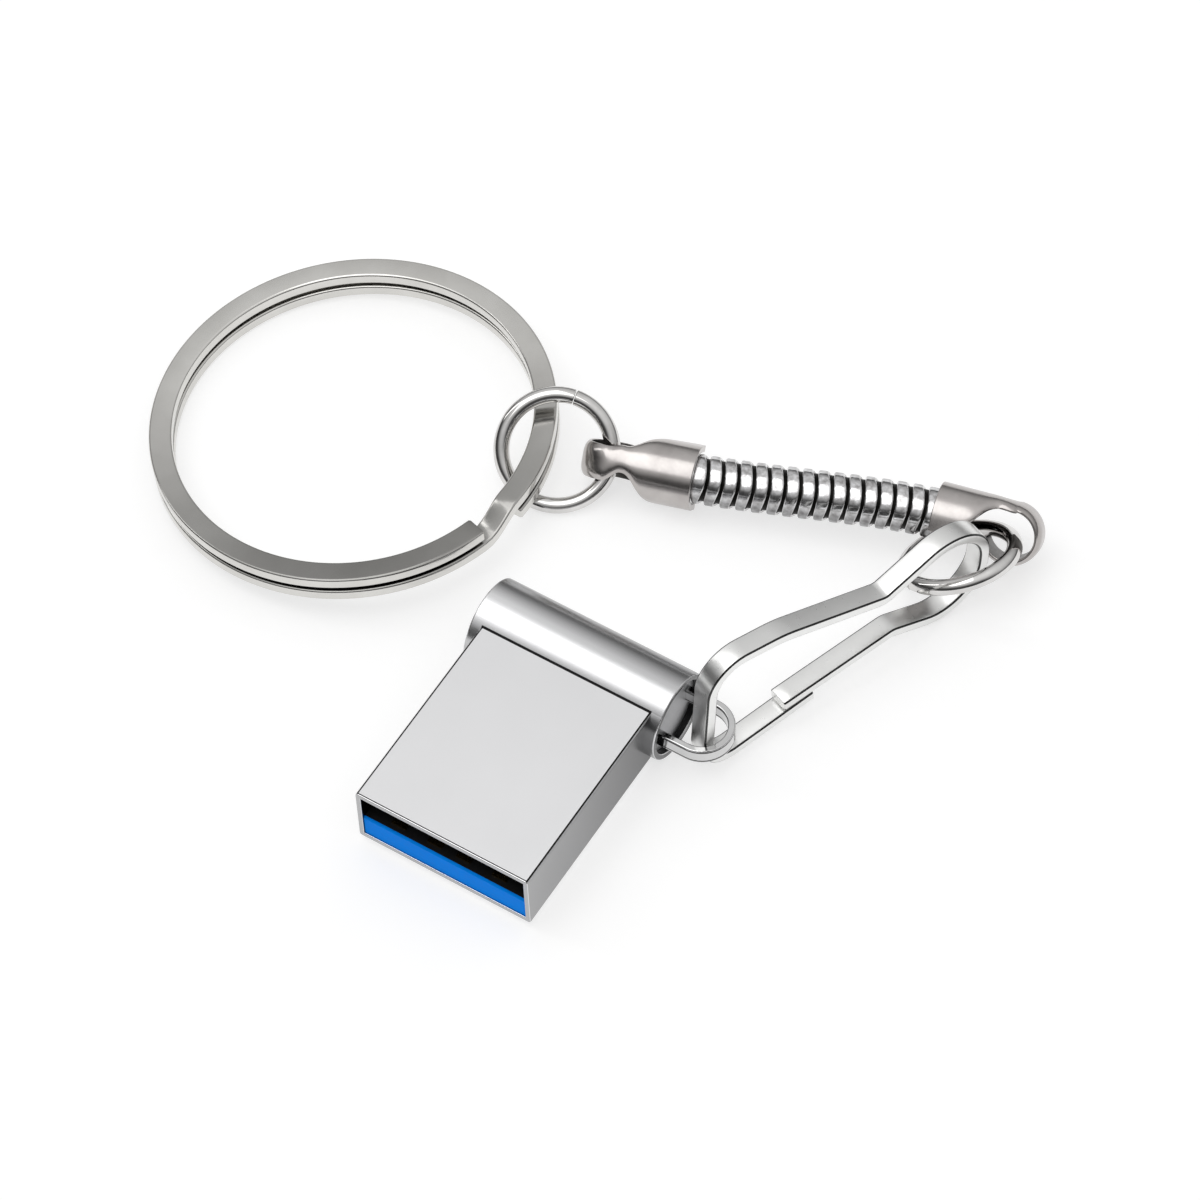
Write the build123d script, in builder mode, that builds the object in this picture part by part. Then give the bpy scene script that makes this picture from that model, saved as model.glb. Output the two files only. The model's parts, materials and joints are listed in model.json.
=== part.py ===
from build123d import *
from math import cos, radians, sin
import os

# Small USB flash drive with a lanyard loop, a snap hook, a short snake chain and a split key ring.
# Millimetres. Origin at the centre of the plug's mouth, +X across the plug, +Y into the drive,
# +Z up. The loose pieces lie on the plane that the drive's round end touches.

# ---- driving dimensions ----------------------------------------------------------------------
plug_width = 12.0
plug_height = 4.5
wall = 0.35
edge_radius = 0.2
mouth_radius = 0.07
rim_radius = 0.1
tongue_chamfer = 0.1

barrel_radius = 2.85
barrel_length = 13.4
barrel_bore_radius = 2.45
barrel_y = 15.45
disc_thickness = 0.9
disc_recess = 0.5
fit_gap = 0.02

tongue_width = 11.26
tongue_height = 1.68
tongue_front = 0.12
tongue_length = 10.2
contact_board_depth = 0.5
contact_board_lip = 0.15
pad_width = 1.0
pad_length = 6.2
pad_inset = 0.5
pad_thickness = 0.1
pad_spacings = {"outer": 7.0, "inner": 2.0}
spring_width = 0.6
spring_length = 1.3
spring_height = 0.35
spring_corner = 0.15
spring_inset = 0.7
spring_spacing = 2.0

board_width = 10.4
board_length = 6.4
board_thickness = 0.6
board_top = -0.3
chip_height = 0.75
small_part_height = 0.5

loop_x = 8.35
loop_outer_radius = 1.97
loop_band = 0.45
loop_height = 1.1
loop_edge = 0.1

hook_heading = 69.5
hook_pitch = -4.6
hook_root = Vector(8.675, 14.65, 2.46)
strip_width = 1.4
strip_thickness = 0.75
strip_corner = 0.16
hook_neck = 13.5
hook_shoulder = (14.3, -2.25)
gate_clearance = 0.04
gate_tip = 6.1
gate_tip_drop = 3.1

ring_radius = 3.4
wire_radius = 0.5
ring_gap_angle = 2.5
far_ring_centre = Vector(15.0, 34.15, -0.55)
far_ring_tilt = (150, 60)
near_ring_centre = Vector(-9.9, 28.15, -0.15)
near_ring_tilt = (-62, 50)

link_count = 16
link_pitch = 0.96
link_radius = 1.5
link_edge = 0.1
link_gap = 0.22
link_bore_radius = 1.08
sleeve_radius = 0.98
sleeve_bore_radius = 0.7
sleeve_lap = 0.2
web_start = 0.42
web_end = 0.62
chain_top_end = Vector(12.6, 35.96, -0.05)
chain_heading = 21.6
chain_rise = 3.5
near_bends = (5.0, 3.0)
far_bends = (8.0, 4.0)
bend_fade = 0.75

eye_radius = 1.93
eye_bore_radius = 1.55
eye_width = 1.8
near_clip_reach = 5.0
far_clip_reach = 4.5
clip_radius = 2.02
clip_bore_radius = 1.58
clip_side = 0.4
clip_start = 0.6
clip_lap = 0.3
clip_cut_rear = -1.0
clip_cut_top = 1.0
cheek_root = 3.4
cheek_middle = 2.3
cheek_middle_height = 0.75
cheek_curve_end = 1.2
near_eye_heading = (-75, -40)
far_eye_heading = (75, -40)
anchor_length = 1.2

key_ring_radius = 12.6
key_ring_centre = Vector(-21.7, 23.63, -1.73)
key_ring_lean = 5.1
key_ring_lean_heading = -9.3
coil_width = 1.45
coil_height = 0.94
coil_step = 0.98
coil_corner = 0.22
coil_end_angle = -7.0
coil_ramp_angle = 13.0
coil_end_gap = 0.6
ramp_sections = 5


def heading_vector(heading, pitch=0.0):
    """Unit vector at a heading from +X towards +Y, raised by pitch."""
    level = cos(radians(pitch))
    return Vector(
        cos(radians(heading)) * level,
        sin(radians(heading)) * level,
        sin(radians(pitch)),
    )


def finish(builder, name):
    """Labels a finished piece and writes its STEP file."""
    builder.part.label = name
    export_step(builder.part, f"parts/{name}.step")


os.makedirs("parts", exist_ok=True)

# ---- drive shell -----------------------------------------------------------------------------
# A flat rectangular plug tube that runs into a round barrel lying across its rear.
barrel_plane = Plane(origin=(-barrel_length / 2, barrel_y, 0), x_dir=(0, 1, 0), z_dir=(1, 0, 0))

with BuildPart() as shell:
    with BuildSketch(Plane.XY.offset(-plug_height / 2)):
        with Locations((0, barrel_y / 2)):
            Rectangle(plug_width, barrel_y)
    extrude(amount=plug_height)
    fillet(shell.edges().filter_by(Axis.Y), radius=edge_radius)
    with BuildSketch(barrel_plane):
        Circle(barrel_radius)
    extrude(amount=barrel_length)
    with BuildSketch(Plane.XY.offset(-plug_height / 2 + wall)):
        with Locations((0, barrel_y / 2)):
            Rectangle(plug_width - 2 * wall, barrel_y)
    extrude(amount=plug_height - 2 * wall, mode=Mode.SUBTRACT)
    with BuildSketch(barrel_plane):
        Circle(barrel_bore_radius)
    extrude(amount=barrel_length, mode=Mode.SUBTRACT)
    rims = shell.edges().group_by(Axis.X)
    fillet(rims[0] + rims[-1], radius=rim_radius)
    fillet(shell.faces().sort_by(Axis.Y)[0].edges(), radius=mouth_radius)
finish(shell, "drive_shell")

# ---- plug insulator and contacts -------------------------------------------------------------
tongue_bottom = -plug_height / 2 + wall
tongue_top = tongue_bottom + tongue_height
tongue_rear = tongue_front + tongue_length
contact_board_length = tongue_length - contact_board_lip
contact_board_y = tongue_rear - contact_board_length / 2

# The board that carries the contacts lies on the insulator, behind a low lip at the mouth.
with BuildPart() as tongue:
    with BuildSketch(Plane.XY.offset(tongue_bottom)):
        with Locations((0, tongue_front + tongue_length / 2)):
            Rectangle(tongue_width, tongue_length)
    extrude(amount=tongue_height)
    front_edges = tongue.edges().filter_by(Axis.X).group_by(Axis.Y)[0]
    chamfer(front_edges.sort_by(Axis.Z)[-1], length=tongue_chamfer)
    with BuildSketch(Plane.XY.offset(tongue_top)):
        with Locations((0, contact_board_y)):
            Rectangle(tongue_width, contact_board_length)
    extrude(amount=-contact_board_depth, mode=Mode.SUBTRACT)
finish(tongue, "tongue_insulator")

with BuildPart() as contact_board:
    with BuildSketch(Plane.XY.offset(tongue_top)):
        with Locations((0, contact_board_y)):
            Rectangle(tongue_width, contact_board_length)
    extrude(amount=-contact_board_depth)
finish(contact_board, "contact_board")

outer_pad_x = pad_spacings["outer"] / 2
inner_pad_x = pad_spacings["inner"] / 2
for number, pad_x in enumerate((-outer_pad_x, -inner_pad_x, inner_pad_x, outer_pad_x), start=1):
    with BuildPart() as pad:
        with BuildSketch(Plane.XY.offset(tongue_top)):
            with Locations((pad_x, tongue_front + pad_inset + pad_length / 2)):
                Rectangle(pad_width, pad_length)
        extrude(amount=pad_thickness)
    finish(pad, f"plug_pad_{number}")

spring_y = tongue_rear - spring_inset - spring_length / 2
for number in range(1, 6):
    with BuildPart() as spring:
        with BuildSketch(Plane.XY.offset(tongue_top)):
            with Locations(((number - 3) * spring_spacing, spring_y)):
                Rectangle(spring_width, spring_length)
        extrude(amount=spring_height)
        fillet(spring.edges().filter_by(Axis.X).group_by(Axis.Z)[-1], radius=spring_corner)
    finish(spring, f"fast_contact_{number}")

# ---- circuit board ---------------------------------------------------------------------------
board_bottom = board_top - board_thickness


def make_block(name, centre, size, bottom):
    """Rectangular package standing on the plane z = bottom."""
    with BuildPart() as block:
        with BuildSketch(Plane.XY.offset(bottom)):
            with Locations(centre):
                Rectangle(size[0], size[1])
        extrude(amount=size[2])
    finish(block, name)


make_block(
    "circuit_board",
    (0, tongue_rear + board_length / 2),
    (board_width, board_length, board_thickness),
    board_bottom,
)
make_block("controller_chip", (-2.2, tongue_rear + 3.2), (4.2, 4.2, chip_height), board_top)
make_block("memory_chip", (0, tongue_rear + 3.2), (8.0, 5.0, chip_height), board_bottom - chip_height)
make_block("crystal", (2.0, tongue_rear + 1.6), (2.0, 1.6, small_part_height), board_top)
for number in range(1, 4):
    capacitor_y = tongue_rear + 2.9 + number * 0.9
    make_block(f"capacitor_{number}", (1.8, capacitor_y), (1.0, 0.5, small_part_height), board_top)

# ---- end discs and lanyard loop --------------------------------------------------------------
disc_face = barrel_length / 2 - disc_recess


def make_disc(name, side):
    """Disc that closes one end of the barrel; side is +1 or -1 along X."""
    with BuildPart() as disc:
        face = Plane(origin=(side * disc_face, barrel_y, 0), x_dir=(0, 1, 0), z_dir=(-side, 0, 0))
        with BuildSketch(face):
            Circle(barrel_bore_radius - fit_gap)
        extrude(amount=disc_thickness)
    finish(disc, name)


make_disc("end_disc_right", 1)
make_disc("end_disc_left", -1)

leg_length = loop_x - disc_face
leg_centre = (disc_face + leg_length / 2, barrel_y)
loop_inner_radius = loop_outer_radius - loop_band
with BuildPart() as loop:
    with BuildSketch(Plane.XY.offset(-loop_height / 2)):
        with Locations((loop_x, barrel_y)):
            Circle(loop_outer_radius)
        with Locations(leg_centre):
            Rectangle(leg_length, 2 * loop_outer_radius)
        with Locations((loop_x, barrel_y)):
            Circle(loop_inner_radius, mode=Mode.SUBTRACT)
        with Locations(leg_centre):
            Rectangle(leg_length, 2 * loop_inner_radius, mode=Mode.SUBTRACT)
    extrude(amount=loop_height)
    fillet(loop.edges().group_by(Axis.Z)[-1], radius=loop_edge)
finish(loop, "lanyard_loop")

# ---- snap hook -------------------------------------------------------------------------------
# One flattened wire bent into a long mouth, a neck and a round eye, standing on edge. The hook's
# own plane has x along its length from the mouth and y across its mouth.
hook_across = heading_vector(hook_heading - 90)
hook_plane = Plane(
    origin=hook_root,
    x_dir=heading_vector(hook_heading, hook_pitch),
    z_dir=hook_across,
)

gate_slope = (gate_tip_drop + hook_shoulder[1]) / (hook_shoulder[0] - gate_tip)


def gate_line(along):
    """Height of the gate's middle line at a distance along the hook."""
    return hook_shoulder[1] - gate_slope * (hook_shoulder[0] - along)


def strip_section(path):
    """Plane across the start of a path on the hook, with x along the strip's width."""
    start = path @ 0
    return Plane(origin=start, x_dir=hook_across, z_dir=path % 0)


with BuildPart() as hook:
    with BuildLine(hook_plane) as hook_path:
        FilletPolyline(
            (8.35, -3.7),
            (0.375, -4.9),
            (0.375, 4.85),
            (5.6, 4.25),
            (hook_neck, 1.65),
            (21.2, 4.86),
            (21.2, -4.86),
            hook_shoulder,
            (hook_neck, gate_line(hook_neck)),
            radius=(1.9, 2.2, 8.0, 1.0, 3.1, 3.1, 1.0),
        )
    with BuildSketch(strip_section(hook_path.line)):
        RectangleRounded(strip_width, strip_thickness, strip_corner)
    sweep(path=hook_path.line)
finish(hook, "hook_frame")

# The gate is the hook's springy tail. Its root is rounded about the pivot line.
pivot_along = hook_neck - gate_clearance - strip_thickness / 2
with BuildPart() as gate:
    with BuildLine(hook_plane) as gate_path:
        Line((gate_tip, gate_line(gate_tip)), (pivot_along, gate_line(pivot_along)))
    with BuildSketch(strip_section(gate_path.line)):
        RectangleRounded(strip_width, strip_thickness, strip_corner)
    sweep(path=gate_path.line)
    root = hook_plane.from_local_coords((pivot_along, gate_line(pivot_along), -strip_width / 2))
    with BuildSketch(Plane(origin=root, x_dir=hook_plane.x_dir, z_dir=hook_across)):
        Circle(strip_thickness / 2)
    extrude(amount=strip_width)
finish(gate, "hook_gate")


# ---- jump rings ------------------------------------------------------------------------------
def make_jump_ring(name, centre, normal, joint_direction):
    """Open wire ring about a centre and normal, its butt joint towards joint_direction."""
    outward = (joint_direction - normal * joint_direction.dot(normal)).normalized()
    start = outward.rotate(Axis((0, 0, 0), normal), ring_gap_angle / 2)
    tangent = normal.cross(start)
    with BuildPart() as ring:
        with BuildSketch(Plane(origin=centre + start * ring_radius, x_dir=start, z_dir=tangent)):
            Circle(wire_radius)
        revolve(axis=Axis(centre, normal), revolution_arc=360 - ring_gap_angle)
    finish(ring, name)


far_ring_normal = heading_vector(*far_ring_tilt)
near_ring_normal = heading_vector(*near_ring_tilt)
make_jump_ring("far_jump_ring", far_ring_centre, far_ring_normal, heading_vector(-110))
make_jump_ring("near_jump_ring", near_ring_centre, near_ring_normal, heading_vector(105))


# ---- chain directions ------------------------------------------------------------------------
def chain_direction(step):
    """Direction of the chain at a step, 0 in the near clip and link_count + 1 in the far clip."""
    near_bend = bend_fade ** step
    far_bend = bend_fade ** (link_count + 1 - step)
    heading = chain_heading - near_bends[0] * near_bend - far_bends[0] * far_bend
    pitch = chain_rise - near_bends[1] * near_bend - far_bends[1] * far_bend
    return heading_vector(heading, pitch)


# The links run from the far clip back to the near one, so the joints follow each other.
link_starts = {}
pivot = chain_top_end
for step in range(link_count, 0, -1):
    pivot = pivot - chain_direction(step) * link_pitch
    link_starts[step] = pivot
chain_low_end = pivot


# ---- snake chain links -----------------------------------------------------------------------
def make_link(name, start, direction):
    """Hollow link: an outer band, and a sleeve that reaches into the bore of the next link."""
    side = direction.cross(Vector(0, 0, 1)).normalized()
    band_start = link_gap / 2
    band_end = link_pitch - link_gap / 2
    sleeve_end = link_pitch + sleeve_lap
    crest_radius = link_radius - link_edge
    with BuildPart() as link:
        with BuildSketch(Plane(origin=start, x_dir=side, z_dir=side.cross(direction))) as profile:
            with BuildLine():
                Polyline(
                    (link_bore_radius, band_start),
                    (crest_radius, band_start),
                    (link_radius, band_start + link_edge),
                    (link_radius, band_end - link_edge),
                    (crest_radius, band_end),
                    (link_bore_radius, band_end),
                    (link_bore_radius, web_end),
                    (sleeve_radius, web_end),
                    (sleeve_radius, sleeve_end),
                    (sleeve_bore_radius, sleeve_end),
                    (sleeve_bore_radius, web_start),
                    (link_bore_radius, web_start),
                    close=True,
                )
            make_face()
        revolve(axis=Axis(start, direction))
    finish(link, name)


for step in range(1, link_count + 1):
    make_link(f"chain_link_{step:02d}", link_starts[step], chain_direction(step))


# ---- chain clips -----------------------------------------------------------------------------
def make_clip(name, mouth, along, eye_axis, reach):
    """Bent strap: a rolled eye at one end and an open channel round the chain at the other.

    along points from the eye to the mouth; the strap's crown is on the side eye_axis x along.
    """
    eye_axis = (eye_axis - along * eye_axis.dot(along)).normalized()
    eye = mouth - along * reach
    frame = Plane(origin=eye, x_dir=along, z_dir=eye_axis)
    section = Plane(origin=eye + along * clip_start, x_dir=-eye_axis, z_dir=along)
    below = (Align.CENTER, Align.MAX)
    with BuildPart() as clip:
        with BuildSketch(section):
            Circle(clip_radius)
            Rectangle(2 * clip_radius, clip_radius, align=below)
            Circle(clip_bore_radius, mode=Mode.SUBTRACT)
            Rectangle(2 * clip_bore_radius, 2 * clip_radius, align=below, mode=Mode.SUBTRACT)
            with Locations((0, -clip_side)):
                Rectangle(4 * clip_radius, 2 * clip_radius, align=below, mode=Mode.SUBTRACT)
        extrude(amount=reach + clip_lap - clip_start)
        with BuildSketch(frame.offset(-2 * clip_radius)):
            with BuildLine():
                Polyline(
                    (cheek_curve_end, clip_cut_top),
                    (clip_cut_rear, clip_cut_top),
                    (clip_cut_rear, -2 * clip_radius),
                    (cheek_root + clip_side, -2 * clip_radius),
                    (cheek_root, -clip_side),
                )
                Spline(
                    (cheek_root, -clip_side),
                    (cheek_middle, cheek_middle_height),
                    (cheek_curve_end, clip_cut_top),
                    tangents=((-0.5, 1), (-1, 0)),
                )
            make_face()
        extrude(amount=4 * clip_radius, mode=Mode.SUBTRACT)
        with BuildSketch(frame.offset(-eye_width / 2)):
            Circle(eye_radius)
        extrude(amount=eye_width)
        with BuildSketch(frame.offset(-2 * clip_radius)):
            Circle(eye_bore_radius)
        extrude(amount=4 * clip_radius, mode=Mode.SUBTRACT)
    finish(clip, name)


near_along = chain_direction(0)
far_along = -chain_direction(link_count + 1)
near_eye_axis = heading_vector(*near_eye_heading)
far_eye_axis = heading_vector(*far_eye_heading)
make_clip("near_chain_clip", chain_low_end, near_along, near_eye_axis, near_clip_reach)
make_clip("far_chain_clip", chain_top_end, far_along, far_eye_axis, far_clip_reach)


def make_anchor(name, mouth, along):
    """Last link of the chain, crimped inside a clip."""
    side = along.cross(Vector(0, 0, 1))
    with BuildPart() as anchor:
        with BuildSketch(Plane(origin=mouth - along * (link_gap / 2), x_dir=side, z_dir=-along)):
            Circle(clip_bore_radius - fit_gap)
            Circle(link_bore_radius, mode=Mode.SUBTRACT)
        extrude(amount=anchor_length)
    finish(anchor, name)


make_anchor("near_chain_end", chain_low_end, near_along)
make_anchor("far_chain_end", chain_top_end, far_along)

# ---- split key ring --------------------------------------------------------------------------
# Two turns of flat wire, one above the other, joined by a short ramp beside the cut ends.
lean_axis = Axis((0, 0, 0), heading_vector(key_ring_lean_heading + 90))
key_ring_normal = Vector(0, 0, 1).rotate(lean_axis, -key_ring_lean)
key_ring_plane = Plane(
    origin=key_ring_centre,
    x_dir=heading_vector(key_ring_lean_heading, key_ring_lean),
    z_dir=key_ring_normal,
)
key_ring_axis = Axis(key_ring_centre, key_ring_normal)


def coil_section(angle, height):
    """Plane across the coil at an angle round the ring, its origin on the wire's middle line."""
    middle = key_ring_radius - coil_width / 2
    local = (middle * cos(radians(angle)), middle * sin(radians(angle)), height + coil_height / 2)
    outward = key_ring_plane.from_local_coords(local) - key_ring_centre
    outward = (outward - key_ring_normal * outward.dot(key_ring_normal)).normalized()
    return Plane(
        origin=key_ring_plane.from_local_coords(local),
        x_dir=outward,
        z_dir=key_ring_normal.cross(outward),
    )


ramp_end_angle = coil_end_angle + coil_ramp_angle
turn_arc = 360 - coil_ramp_angle - coil_end_gap
with BuildPart() as key_ring:
    with BuildSketch(coil_section(ramp_end_angle + coil_end_gap, 0)):
        RectangleRounded(coil_width, coil_height, coil_corner)
    revolve(axis=key_ring_axis, revolution_arc=turn_arc)
    with BuildSketch(coil_section(ramp_end_angle, coil_step)):
        RectangleRounded(coil_width, coil_height, coil_corner)
    revolve(axis=key_ring_axis, revolution_arc=turn_arc)
    for part_of_ramp in range(ramp_sections):
        share = part_of_ramp / (ramp_sections - 1)
        rise = coil_step * share * share * (3 - 2 * share)
        with BuildSketch(coil_section(coil_end_angle + coil_ramp_angle * share, rise)):
            RectangleRounded(coil_width, coil_height, coil_corner)
    loft()
finish(key_ring, "key_ring")
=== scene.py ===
import bpy
import json
from math import acos, atan2, ceil, cos, hypot, pi, radians, sin, sqrt, tan
from mathutils import Matrix, Vector


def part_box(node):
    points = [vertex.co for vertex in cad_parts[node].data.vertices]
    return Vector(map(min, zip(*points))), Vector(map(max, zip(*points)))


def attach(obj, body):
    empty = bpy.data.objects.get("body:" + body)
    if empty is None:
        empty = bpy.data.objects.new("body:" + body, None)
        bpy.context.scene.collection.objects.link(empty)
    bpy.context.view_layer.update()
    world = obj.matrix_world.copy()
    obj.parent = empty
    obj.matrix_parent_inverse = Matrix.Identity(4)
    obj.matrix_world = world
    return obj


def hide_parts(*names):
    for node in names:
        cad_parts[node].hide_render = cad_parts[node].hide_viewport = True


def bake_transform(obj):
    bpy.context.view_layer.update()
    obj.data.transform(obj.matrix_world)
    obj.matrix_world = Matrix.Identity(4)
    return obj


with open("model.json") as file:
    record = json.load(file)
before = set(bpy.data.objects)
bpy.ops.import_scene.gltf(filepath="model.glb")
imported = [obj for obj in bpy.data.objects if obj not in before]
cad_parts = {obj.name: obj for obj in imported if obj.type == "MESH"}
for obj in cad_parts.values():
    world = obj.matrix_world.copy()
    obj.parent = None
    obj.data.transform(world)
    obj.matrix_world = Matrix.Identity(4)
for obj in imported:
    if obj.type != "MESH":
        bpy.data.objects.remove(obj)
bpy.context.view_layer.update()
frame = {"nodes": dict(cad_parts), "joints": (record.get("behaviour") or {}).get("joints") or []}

MM = 0.001
ALONG_X = (1, 0, 0)
ALONG_Y = (0, 1, 0)
ALONG_Z = (0, 0, 1)
END_SHRINK = 0.9
JOINTS = {joint["name"]: joint for joint in frame["joints"]}


# ---- small tools -----------------------------------------------------------------------------
def joint_point(name):
    """A joint's pivot in millimetres."""
    return Vector(JOINTS[name]["pos_m"]) / MM


def joint_axis(name):
    return Vector(JOINTS[name]["axis"]).normalized()


def heading_vector(heading, pitch=0.0):
    """Unit vector at a heading from +X towards +Y, raised by pitch."""
    level = cos(radians(pitch))
    return Vector((cos(radians(heading)) * level, sin(radians(heading)) * level, sin(radians(pitch))))


def smooth_step(value, low, high):
    t = min(max((value - low) / (high - low), 0.0), 1.0)
    return t * t * (3 - 2 * t)


def add_piece(name, points, faces, materials, sharp=38.0, face_slots=None):
    """Makes a mesh object from points in millimetres."""
    mesh = bpy.data.meshes.new(name)
    mesh.from_pydata([Vector(p) * MM for p in points], [], faces)
    for material in materials:
        mesh.materials.append(material)
    if face_slots:
        mesh.polygons.foreach_set("material_index", face_slots)
    mesh.polygons.foreach_set("use_smooth", [True] * len(mesh.polygons))
    mesh.update()
    mesh.set_sharp_from_angle(angle=radians(sharp))
    piece = bpy.data.objects.new(name, mesh)
    bpy.context.scene.collection.objects.link(piece)
    return piece


def loft(rings, closed=False):
    """Points and faces of a skin through equal rings; closed joins the last ring to the first."""
    points = [p for ring in rings for p in ring]
    count = len(rings[0])
    faces = []
    spans = len(rings) if closed else len(rings) - 1
    for i in range(spans):
        a = i * count
        b = ((i + 1) % len(rings)) * count
        for j in range(count):
            k = (j + 1) % count
            faces.append((a + j, a + k, b + k, b + j))
    if not closed:
        faces.append(tuple(reversed(range(count))))
        last = (len(rings) - 1) * count
        faces.append(tuple(range(last, last + count)))
    return points, faces


def rounded_rectangle(width, height, radius, steps=5):
    """Outline of a rounded rectangle about the origin, anticlockwise."""
    outline = []
    for corner in range(4):
        cx = (width / 2 - radius) * (1 if corner in (0, 3) else -1)
        cy = (height / 2 - radius) * (1 if corner in (0, 1) else -1)
        for step in range(steps + 1):
            angle = pi / 2 * (corner + step / steps)
            outline.append((cx + radius * cos(angle), cy + radius * sin(angle)))
    return outline


def circle_outline(radius, steps):
    return [(radius * cos(2 * pi * i / steps), radius * sin(2 * pi * i / steps)) for i in range(steps)]


def shrink(ring, share):
    """Ring pulled towards its middle, for a softened cut end."""
    middle = sum(ring, Vector()) / len(ring)
    return [middle + (p - middle) * share for p in ring]


def sweep_rings(stations, outline):
    """Rings of an outline at stations (origin, x direction, y direction)."""
    return [[o + x * u + y * v for u, v in outline] for o, x, y in stations]


def soft_ends(rings, inset=0.06):
    """Adds a small round-over at both ends of a run of rings."""
    first_step = (rings[0][0] - rings[1][0]).normalized()
    last_step = (rings[-1][0] - rings[-2][0]).normalized()
    start = [p - first_step * inset for p in rings[0]]
    end = [p - last_step * inset for p in rings[-1]]
    return [shrink(rings[0], END_SHRINK), start] + rings[1:-1] + [end, shrink(rings[-1], END_SHRINK)]


# ---- materials -------------------------------------------------------------------------------
NOISE_LOW = 0.3
NOISE_HIGH = 0.7
BUMP_DISTANCE = 0.01
FACING_SPAN = (0.7, 0.95)
UNBOUNDED = -1.0
# tone of the painted shade lines on the drive shell
SHADE_LINE_TONE = 0.03


def new_material(name):
    material = bpy.data.materials.new(name)
    material.use_nodes = True
    nodes = material.node_tree.nodes
    return material, nodes, material.node_tree.links, nodes["Principled BSDF"]


def object_coordinates(nodes, links):
    """Object coordinates in millimetres."""
    coordinates = nodes.new("ShaderNodeTexCoord")
    mapping = nodes.new("ShaderNodeMapping")
    mapping.inputs["Scale"].default_value = [1 / MM] * 3
    links.new(coordinates.outputs["Object"], mapping.inputs["Vector"])
    return mapping.outputs["Vector"]


def noise(nodes, links, vector, scale, detail=3.0, roughness=0.55):
    texture = nodes.new("ShaderNodeTexNoise")
    texture.inputs["Scale"].default_value = scale
    texture.inputs["Detail"].default_value = detail
    texture.inputs["Roughness"].default_value = roughness
    links.new(vector, texture.inputs["Vector"])
    return texture.outputs["Fac"]


def ramp(nodes, links, value, stops):
    """Colour ramp over a value; stops are (position, grey or colour)."""
    node = nodes.new("ShaderNodeValToRGB")
    elements = node.color_ramp.elements
    while len(elements) < len(stops):
        elements.new(0.5)
    for element, (position, colour) in zip(elements, stops):
        element.position = position
        if not isinstance(colour, tuple):
            colour = (colour, colour, colour)
        element.color = (*colour, 1)
    links.new(value, node.inputs["Fac"])
    return node.outputs["Color"]


def noise_ramp(nodes, links, value, low, high):
    """Colour ramp from low to high over the middle of a noise's range."""
    return ramp(nodes, links, value, [(NOISE_LOW, low), (NOISE_HIGH, high)])


def add_bump(nodes, links, shader, height, strength):
    bump = nodes.new("ShaderNodeBump")
    bump.inputs["Strength"].default_value = strength
    bump.inputs["Distance"].default_value = BUMP_DISTANCE * MM
    links.new(height, bump.inputs["Height"])
    links.new(bump.outputs["Normal"], shader.inputs["Normal"])


def metal(name, light, dark, rough, grain, mottle, bump):
    """Plated metal with mottled colour, uneven gloss and fine grain."""
    material, nodes, links, shader = new_material(name)
    shader.inputs["Metallic"].default_value = 1.0
    vector = object_coordinates(nodes, links)
    patches = noise(nodes, links, vector, mottle, 4.0)
    links.new(noise_ramp(nodes, links, patches, dark, light), shader.inputs["Base Color"])
    fine = noise(nodes, links, vector, grain, 4.0, 0.6)
    links.new(noise_ramp(nodes, links, fine, *rough), shader.inputs["Roughness"])
    add_bump(nodes, links, shader, fine, bump)
    return material


def plastic(name, light, dark, rough, speck=3.0, bump=0.05, specular=0.5):
    """Plastic with faint patches of colour and gloss and a fine bump."""
    material, nodes, links, shader = new_material(name)
    shader.inputs["Specular IOR Level"].default_value = specular
    vector = object_coordinates(nodes, links)
    patches = noise(nodes, links, vector, speck, 4.0)
    links.new(noise_ramp(nodes, links, patches, dark, light), shader.inputs["Base Color"])
    links.new(noise_ramp(nodes, links, patches, *rough), shader.inputs["Roughness"])
    add_bump(nodes, links, shader, noise(nodes, links, vector, 12.0), bump)
    return material


def math_node(nodes, links, operation, first, second=0.0):
    node = nodes.new("ShaderNodeMath")
    node.operation = operation
    for slot, value in zip(node.inputs, (first, second)):
        if isinstance(value, (int, float)):
            slot.default_value = value
        else:
            links.new(value, slot)
    return node.outputs[0]


def along_direction(nodes, links, vector, direction):
    """Component of a vector along a direction."""
    node = nodes.new("ShaderNodeVectorMath")
    node.operation = "DOT_PRODUCT"
    links.new(vector, node.inputs[0])
    node.inputs[1].default_value = direction
    return node.outputs["Value"]


def map_range(nodes, links, value, source, result):
    """Maps a value from one range to another, held at both ends."""
    node = nodes.new("ShaderNodeMapRange")
    node.inputs["From Min"].default_value, node.inputs["From Max"].default_value = source
    node.inputs["To Min"].default_value, node.inputs["To Max"].default_value = result
    links.new(value, node.inputs["Value"])
    return node.outputs["Result"]


def multiply_colour(material, factor, tone):
    """Multiplies a material's colour by tone where factor is 1."""
    nodes, links = material.node_tree.nodes, material.node_tree.links
    shader = nodes["Principled BSDF"]
    plain = shader.inputs["Base Color"].links[0].from_socket
    shade = nodes.new("ShaderNodeMix")
    shade.data_type = "RGBA"
    shade.blend_type = "MULTIPLY"
    links.new(factor, shade.inputs["Factor"])
    links.new(plain, shade.inputs["A"])
    if isinstance(tone, float):
        shade.inputs["B"].default_value = (tone, tone, tone, 1)
    else:
        links.new(tone, shade.inputs["B"])
    links.new(shade.outputs["Result"], shader.inputs["Base Color"])


def graded_tone(nodes, links, coordinates, direction, span, tones):
    """Tone that changes over a span in millimetres along a direction."""
    place = along_direction(nodes, links, coordinates.outputs["Object"], direction)
    return map_range(nodes, links, place, (span[0] * MM, span[1] * MM), tones)


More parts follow.
